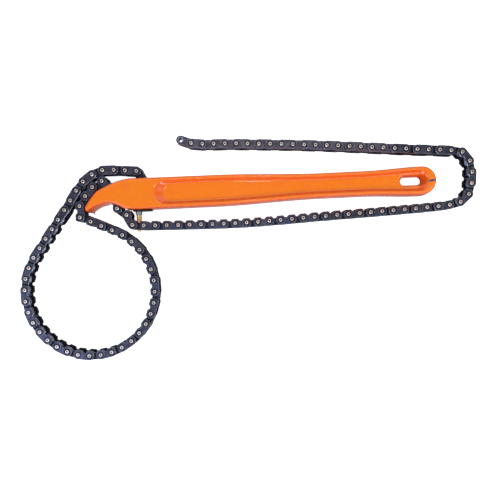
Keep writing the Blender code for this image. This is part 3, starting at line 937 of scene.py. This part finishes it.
@dataclass
class Handle:
    """The forging, laid out as its solid is, with its edges then melted as thick paint does."""

    lay: ChainLay
    palette: Palette
    axis: float = -10.95 * MM
    thickness: float = 18.56 * MM
    cheek: float = 3.0 * MM
    edge: tuple[tuple[float, float], ...] = (
        (7.60 * MM, 0.74 * MM), (1.10 * MM, 0.35 * MM), (0.58 * MM, 0.80 * MM),
    )
    back: float = 2.4 * MM
    beak_gap: float = 5.1 * MM
    wall: float = 4.3 * MM
    tooth_wall: float = 5.08 * MM
    pocket: float = 5.7 * MM
    head_half: float = 13.35 * MM
    waist_half: float = 10.65 * MM
    grip: float = 12.4 * MM
    head_end: float = 60.0 * MM
    waist: tuple[float, float] = (150.0 * MM, 185.0 * MM)
    grip_centre: float = 232.2 * MM
    rim: float = 3.5 * MM
    recess_span: tuple[float, float] = (9.5 * MM, 238.0 * MM)
    recess_depth: float = 3.5 * MM
    side_slope: float = 1.9 * MM
    end_slopes: tuple[float, float] = (8.0 * MM, 5.5 * MM)
    hole: tuple[float, float] = (216.1 * MM, 233.3 * MM)
    hole_axis: float = -10.45 * MM
    hole_width: float = 6.4 * MM
    hole_flare: tuple[float, float] = (2.1 * MM, 1.3 * MM)
    peg_x: float = -5.2 * MM
    land_reach: tuple[float, float] = (-6.0 * MM, 11.9 * MM)
    land_depth: float = 0.45 * MM
    voxel: float = 0.62 * MM
    melt_steps: int = 10

    @property
    def underside(self) -> float:
        """Y of the head's underside."""
        return self.axis - self.head_half

    def half_depth(self, x: float) -> float:
        """Finds half the shank's depth, which narrows to a waist and widens to the grip.

        Args:
            x: The place along the handle.

        Returns:
            Half the depth there.
        """
        narrow = eased(x, self.head_end, self.waist[0])
        widen = eased(x, self.waist[1], self.grip_centre)
        waist = self.head_half + (self.waist_half - self.head_half) * narrow
        return waist + (self.grip - self.waist_half) * widen

    def outline(self) -> list[Vector]:
        """Lays out the forging's plan at its parting line.

        Returns:
            Its points, anticlockwise from below the head: shank, grip, back, beak and mouth.
        """
        stations = spaced(self.head_end, self.grip_centre, 36)
        below = [Vector((x, self.axis - self.half_depth(x))) for x in stations]
        above = [Vector((x, self.axis + self.half_depth(x))) for x in reversed(stations)]
        grip = Vector((self.grip_centre, self.axis))
        end = [grip + polar(self.grip, angle) for angle in range(-84, 90, 6)]
        crest, *nose = [self.lay.beside(i, -self.beak_gap) for i in (49, 48, 47, 46)]
        tip = nose[-1]
        beak = [
            above[-1],
            Vector((0.0, self.back + 0.4 * MM)), Vector((-11.0 * MM, self.back + 0.4 * MM)),
            Vector((-21.5 * MM, self.back - 1.7 * MM)), crest, *nose,
            tip + Vector((0.3, -2.6)) * MM, tip + Vector((2.2, -4.6)) * MM,
            nose[1] + Vector((4.6, -7.1)) * MM, nose[0] + Vector((5.2, -11.6)) * MM,
            nose[0] + Vector((10.0, -10.7)) * MM, nose[0] + Vector((14.4, -11.9)) * MM,
            Vector((-18.8 * MM, self.underside + 2.8 * MM)),
            Vector((-12.2 * MM, self.underside + 0.3 * MM)),
            below[0] - Vector((40.0 * MM, 0.0)), below[0],
        ]
        return [*below, *end, *above, *smooth_through(beak, 6)]

    def body(self) -> bmesh.types.BMesh:
        """Models the solid blank, drafted from its parting line and rounded to both faces.

        Returns:
            The blank, before anything is cut from it.
        """
        bm = bmesh.new()
        middle = add_loop(bm, self.outline(), self.thickness / 2)
        for direction in (1, -1):
            cap = middle.copy(verts=True, edges=True) if direction > 0 else middle
            cap.normal_update()
            if (cap.normal.z > 0) != (direction > 0):
                cap.normal_flip()
            for rise, inset in self.edge:
                bmesh.ops.inset_region(
                    bm, faces=[cap], thickness=inset, use_even_offset=True, use_boundary=True,
                )
                bmesh.ops.translate(bm, verts=cap.verts, vec=(0.0, 0.0, direction * rise))
        bmesh.ops.remove_doubles(bm, verts=bm.verts, dist=0.001 * MM)
        bmesh.ops.recalc_face_normals(bm, faces=bm.faces)
        return bm

    def chain_slot(self) -> list[Vector]:
        """Lays out the space between the cheeks.

        Returns:
            Its plan: the wall behind the chain, the way out below, and the wall before it.
        """
        lay = self.lay
        leave = (lay.pins[50] - lay.pins[49]).normalized()
        mouth = lay.pins[49] + Vector((leave.y, -leave.x)) * self.wall - leave * 5.0 * MM
        back_wall = [mouth, *(lay.beside(index, -self.wall) for index in (50, 51, 52))]
        relief = self.peg_x - 4.5 * MM
        below = self.underside - 6.0 * MM
        above = self.back + 8.0 * MM
        right_wall = [
            Vector((relief, below)), Vector((relief, self.underside + 2.0 * MM)),
            lay.beside(51, self.tooth_wall) + Vector((0.4, -7.0)) * MM,
            lay.beside(51, self.tooth_wall),
            lay.beside(50, self.tooth_wall) + Vector((6.0, -2.0)) * MM,
        ]
        pocket = [polar(self.pocket, angle) for angle in range(-125, -10, 15)]
        ends = [Vector((self.pocket, above)), Vector((mouth.x, above))]
        return [*back_wall, Vector((back_wall[-1].x, below)), *right_wall, *pocket, *ends]

    def recess_outline(self, rim: float, end_insets: tuple[float, float]) -> list[Vector]:
        """Lays out the web's recess at one depth.

        Args:
            rim: Its distance from the shank's edge.
            end_insets: How far its left and right ends are drawn in.

        Returns:
            Its plan, with round ends.
        """
        points = []
        for side in (-1, 1):
            near, far = self.recess_span[:: -side]
            for x in spaced(near, far, 21)[2:-2]:
                points.append(Vector((x, self.axis + side * (self.half_depth(x) - rim))))
            reach = self.half_depth(far) - rim
            inset = end_insets[0] if side > 0 else end_insets[1]
            centre = Vector((far + side * (reach * 0.9 + inset), self.axis))
            for turn in range(-80, 81, 10):
                offset = polar(reach, turn)
                points.append(centre + Vector((-side * offset.x * 0.9, -side * offset.y)))
        return points

    def recess(self, face: float, floor: float) -> bmesh.types.BMesh:
        """Models one recess's cutter, with sloped walls.

        Args:
            face: Height of the face that it is cut into.
            floor: Height of its floor.

        Returns:
            The cutter, which stands out past the face.
        """
        bm = bmesh.new()
        rings = (
            (face + (face - floor) * 0.3, self.rim - 0.6 * MM, (-0.8 * MM, -0.8 * MM)),
            (face, self.rim, (0.0, 0.0)),
            (floor, self.rim + self.side_slope, self.end_slopes),
        )
        bridge(bm, [add_loop(bm, self.recess_outline(rim, inset), z) for z, rim, inset in rings])
        return bm

    def long_hole(self, open_by: float) -> list[Vector]:
        """Lays out the hanging slot at one depth.

        Args:
            open_by: The share of the flare that it has there.

        Returns:
            Its plan.
        """
        start, end = self.hole
        inset = self.hole_width / 2
        longer, wider = (open_by * flare for flare in self.hole_flare)
        radius = inset + wider
        right = Vector((end - inset + longer - wider, self.hole_axis))
        left = Vector((start + inset - longer + wider, self.hole_axis))
        return [right + polar(radius, angle) for angle in range(-90, 91, 12)] + [
            left + polar(radius, angle) for angle in range(90, 271, 12)
        ]

    def hanging_slot(self) -> bmesh.types.BMesh:
        """Models the hanging slot's cutter, narrowest half way down and flared to both lips.

        Returns:
            The cutter.
        """
        bm = bmesh.new()
        middle = self.thickness / 2
        web = middle - self.recess_depth
        rings = ((-2 * web, 2.0), (-web, 1.0), (0.0, 0.0), (web, 1.0), (2 * web, 2.0))
        bridge(bm, [add_loop(bm, self.long_hole(open_by), middle + z) for z, open_by in rings])
        return bm

    def cutters(self) -> dict[str, bmesh.types.BMesh]:
        """Models every shape that is taken out of the blank.

        Returns:
            The cutters by name.
        """
        past = 4.0 * MM
        top = self.thickness
        left, right = (self.peg_x + reach for reach in self.land_reach)
        low, high = self.underside - 1.0 * MM, self.underside + self.land_depth
        land = [
            Vector(corner) for corner in ((left, low), (right, low), (right, high), (left, high))
        ]
        return {
            "slot": prism(self.chain_slot(), self.cheek, top - self.cheek),
            "upper": self.recess(top, top - self.recess_depth),
            "lower": self.recess(0.0, self.recess_depth),
            "hanging": self.hanging_slot(),
            "land": prism(land, -past, top + past),
        }

    def build(self) -> None:
        """Cuts the blank, melts its edges and dresses it."""
        blank = add_mesh("blank", self.body(), [])
        tools = []
        for name, bm in self.cutters().items():
            tool = add_mesh(f"{name}_tool", bm, [])
            cut = blank.modifiers.new(name, "BOOLEAN")
            cut.operation = "DIFFERENCE"
            cut.solver = "EXACT"
            cut.object = tool
            tools.append(tool)
        remesh = blank.modifiers.new("skin", "REMESH")
        remesh.mode = "VOXEL"
        remesh.voxel_size = self.voxel
        melt = blank.modifiers.new("melt", "SMOOTH")
        melt.factor = 0.5
        melt.iterations = self.melt_steps
        bpy.context.view_layer.update()
        shaped = blank.evaluated_get(bpy.context.evaluated_depsgraph_get())
        mesh = bpy.data.meshes.new_from_object(shaped)
        for item in (blank, *tools):
            bpy.data.objects.remove(item, do_unlink=True)
        mesh.name = "forging"
        mesh.shade_smooth()
        mesh.materials.clear()
        mesh.materials.append(self.palette[Finish.ENAMEL])
        piece = bpy.data.objects.new("forging", mesh)
        bpy.context.scene.collection.objects.link(piece)
        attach(piece, "handle")
        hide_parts("handle")
        LOG.info("forging: %d faces", len(mesh.polygons))


@dataclass
class Hook:
    """The strap under the head, the peg through it, and the chain's anchor pin."""

    handle: Handle
    palette: Palette
    peg: float = 2.0 * MM
    peg_collar: float = 2.7 * MM
    peg_shoulder: float = 1.2 * MM
    collar_length: float = 2.0 * MM
    collar_taper: float = 0.8 * MM
    strap: float = 0.8 * MM
    strap_width: float = 10.0 * MM
    strap_corner: float = 2.4 * MM
    strap_edge: float = 0.2 * MM
    anchor: float = 1.5 * MM
    anchor_chamfer: float = 0.25 * MM

    def fasten(self, piece: bpy.types.Object, node: str) -> None:
        """Lets a piece stand for one of the handle body's nodes.

        Args:
            piece: The piece.
            node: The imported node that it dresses.
        """
        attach(piece, "handle")
        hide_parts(node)
        LOG.info("%s", piece.name)

    def build(self) -> None:
        """Makes the three pieces."""
        self.build_strap()
        self.build_peg()
        self.build_anchor()

    def build_strap(self) -> None:
        """The black strap, with its long edges rolled."""
        low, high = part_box("hook_plate")
        low.y = high.y - self.strap
        low.z, high.z = ((low.z + high.z + side * self.strap_width) / 2 for side in (-1, 1))
        bm = bmesh.new()
        bmesh.ops.create_cube(bm, size=1.0)
        bmesh.ops.scale(bm, verts=bm.verts, vec=high - low)
        bmesh.ops.translate(bm, verts=bm.verts, vec=(high + low) / 2)
        ends = [
            edge for edge in bm.edges
            if abs((edge.verts[0].co - edge.verts[1].co).y) > (high - low).y * 0.9
        ]
        bmesh.ops.bevel(
            bm, geom=ends, offset=self.strap_corner, affect="EDGES", segments=5, profile=0.5,
            material=-1,
        )
        rims = [edge for edge in bm.edges if edge.calc_face_angle(0.0) > 1.0]
        bmesh.ops.bevel(
            bm, geom=rims, offset=self.strap_edge, affect="EDGES", segments=2, profile=0.5,
            material=-1,
        )
        piece = add_mesh("hook_strap", bm, [self.palette[Finish.BLACK]])
        self.fasten(piece, "hook_plate")

    def build_peg(self) -> None:
        """The turned peg: a shank, a grey collar, a gold shaft and a domed point."""
        low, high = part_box("hook_peg")
        start = self.handle.underside - high.y
        tip = self.handle.underside - low.y
        collar = self.peg_shoulder
        collar_end = collar + self.collar_length
        shaft = collar_end + self.collar_taper
        profile = [
            (0.0, start), (self.peg, start), (self.peg, collar), (self.peg_collar, collar),
            (self.peg_collar + 0.02 * MM, collar + 0.3 * MM), (self.peg_collar, collar_end),
            (self.peg, shaft), (self.peg, tip - 5.6 * MM),
            (self.peg - 0.1 * MM, tip - 1.5 * MM),
            (self.peg * 0.82, tip - 0.7 * MM), (self.peg * 0.45, tip - 0.15 * MM), (0.0, tip),
        ]
        bm = bmesh.new()
        verts = lathe(bm, profile, 32)
        for face in bm.faces:
            if face.calc_center_median().z < shaft + 0.1 * MM:
                face.material_index = 1
        spot = Matrix.Translation((
            self.handle.peg_x, self.handle.underside, self.handle.thickness / 2,
        )) @ Matrix.Rotation(math.radians(90), 4, "X")
        bmesh.ops.transform(bm, matrix=spot, verts=verts)
        piece = add_mesh("peg", bm, [self.palette[Finish.ZINC], self.palette.collar], 30.0)
        self.fasten(piece, "hook_peg")

    def build_anchor(self) -> None:
        """The anchor pin, with a chamfered end flush with the lower face."""
        low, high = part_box("anchor_pin")
        radius, edge = self.anchor, self.anchor_chamfer
        bm = bmesh.new()
        lathe(bm, [
            (0.0, low.z), (radius - edge, low.z), (radius, low.z + edge),
            (radius, high.z - edge), (radius - edge, high.z), (0.0, high.z),
        ], 28)
        piece = add_mesh("anchor", bm, [self.palette[Finish.BRIGHT]], 30.0)
        self.fasten(piece, "anchor_pin")


# The studio


@dataclass(frozen=True)
class Lamp:
    """An area lamp: its place and its width and height in metres, its watts and its colour."""

    name: str
    place: tuple[float, float, float]
    size: tuple[float, float]
    power: float
    tint: str = "#FFFFFF"

    def build(self, target: tuple[float, float, float]) -> None:
        """Hangs the lamp.

        Args:
            target: The point that it faces.
        """
        data = bpy.data.lights.new(self.name, "AREA")
        data.shape = "RECTANGLE"
        data.size, data.size_y = self.size
        data.energy = self.power
        data.color = linear(self.tint)[:3]
        lamp = bpy.data.objects.new(self.name, data)
        lamp.location = self.place
        aim = Vector(target) - Vector(self.place)
        lamp.rotation_euler = aim.to_track_quat("-Z", "Y").to_euler()
        bpy.context.scene.collection.objects.link(lamp)


@dataclass
class Studio:
    """A pale floor, soft lamps and the camera straight above the wrench."""

    eye: tuple[float, float, float] = (87.0 * MM, -61.9 * MM, 380.0 * MM)
    roll: float = -2.7
    view_width: float = 59.36
    floor: str = "#FAFAFA"
    floor_shade: str = "#F6F6F6"
    floor_glow: float = 0.88
    floor_gloss: float = 0.06
    target: tuple[float, float, float] = (0.08, -0.03, 0.0)
    # Two wide softboxes, a cool window on the left, a weak one on the right and a small spot
    lamps: tuple[Lamp, ...] = (
        Lamp("front_softbox", (0.28, -0.60, 0.50), (1.60, 0.16), 4.3),
        Lamp("back_softbox", (0.05, 0.52, 0.62), (1.20, 0.70), 2.2),
        Lamp("left_window", (-0.46, -0.30, 0.62), (0.40, 0.50), 2.0, "#CFDEFF"),
        Lamp("right_window", (0.62, -0.10, 0.62), (0.30, 0.30), 0.4),
        Lamp("small_spot", (0.10, -0.05, 0.70), (0.06, 0.06), 0.22),
    )

    def build(self) -> None:
        """Sets the view, the floor, the lamps and the camera."""
        bpy.context.scene.view_settings.view_transform = "Standard"
        self.build_floor()
        self.build_world()
        for lamp in self.lamps:
            lamp.build(self.target)
        self.build_camera()

    def build_camera(self) -> None:
        """Sets the camera straight above, turned a little as the photo is."""
        camera = bpy.data.cameras.new("camera")
        camera.angle = math.radians(self.view_width)
        camera.clip_start = 0.01
        obj = bpy.data.objects.new("camera", camera)
        obj.location = self.eye
        obj.rotation_euler = (0.0, 0.0, math.radians(self.roll))
        bpy.context.scene.collection.objects.link(obj)
        bpy.context.scene.camera = obj

    def build_floor(self) -> None:
        """The floor that the wrench lies on. It shows white and still takes a soft shadow."""
        bm = bmesh.new()
        bmesh.ops.create_grid(bm, x_segments=1, y_segments=1, size=3.0)
        bmesh.ops.translate(bm, verts=bm.verts, vec=(0.08, -0.06, -0.2 * MM))
        material, tree, shader = new_material("matt_white_card")
        place = add_node(tree, "ShaderNodeTexCoord").outputs["Object"]
        tone = stepped(tree, object_noise(tree, place, 60.0, 1.0), 0.3, 0.7, 0.0, 0.4)
        card = blended(tree, tone, linear(self.floor), linear(self.floor_shade))
        tree.links.new(card, shader.inputs["Base Color"])
        shader.inputs["Roughness"].default_value = 0.9
        shader.inputs["Emission Color"].default_value = WHITE
        path = add_node(tree, "ShaderNodeLightPath")
        gloss = add_node(tree, "ShaderNodeMath", {"operation": "MULTIPLY"}, {
            0: path.outputs["Is Glossy Ray"], 1: self.floor_gloss,
        }).outputs[0]
        glow = add_node(tree, "ShaderNodeMath", {"operation": "MULTIPLY_ADD"}, {
            0: path.outputs["Is Camera Ray"], 1: self.floor_glow, 2: gloss,
        })
        tree.links.new(glow.outputs[0], shader.inputs["Emission Strength"])
        floor = add_mesh("floor", bm, [material])

    def build_world(self) -> None:
        """Soft light from all round, weaker from straight above, so flat steel stays dark.

        Reflections see a dimmer sky, darkest low down, so that the enamel keeps its colour.
        """
        world = bpy.data.worlds.new("studio")
        world.use_nodes = True
        tree = world.node_tree
        background = tree.nodes["Background"]
        place = add_node(tree, "ShaderNodeTexCoord").outputs["Generated"]
        up = add_node(tree, "ShaderNodeSeparateXYZ", inputs={0: place}).outputs["Z"]
        path = add_node(tree, "ShaderNodeLightPath")
        level = add_node(tree, "ShaderNodeMix", {"data_type": "FLOAT"}, {
            0: path.outputs["Is Glossy Ray"], 2: stepped(tree, up, 0.55, 0.97, 0.50, 0.30),
            3: stepped(tree, up, 0.30, 0.90, 0.14, 0.28),
        }).outputs[0]
        shown = add_node(tree, "ShaderNodeMix", {"data_type": "FLOAT"}, {
            0: path.outputs["Is Camera Ray"], 2: level, 3: 1.0,
        })
        background.inputs["Color"].default_value = WHITE
        tree.links.new(shown.outputs[0], background.inputs["Strength"])
        bpy.context.scene.world = world


def main() -> None:
    """Builds the wrench's looks and the studio."""
    logging.basicConfig(level=logging.INFO)
    Studio().build()
    palette = Palette()
    palette.build()
    lay = ChainLay()
    lay.build()
    LOG.info("lay: %d pins", len(lay.pins))
    shapes = LinkShapes()
    shapes.build()
    Chain(lay, shapes, palette).build()
    handle = Handle(lay, palette)
    handle.build()
    Hook(handle, palette).build()


if __name__ == "__main__":
    main()
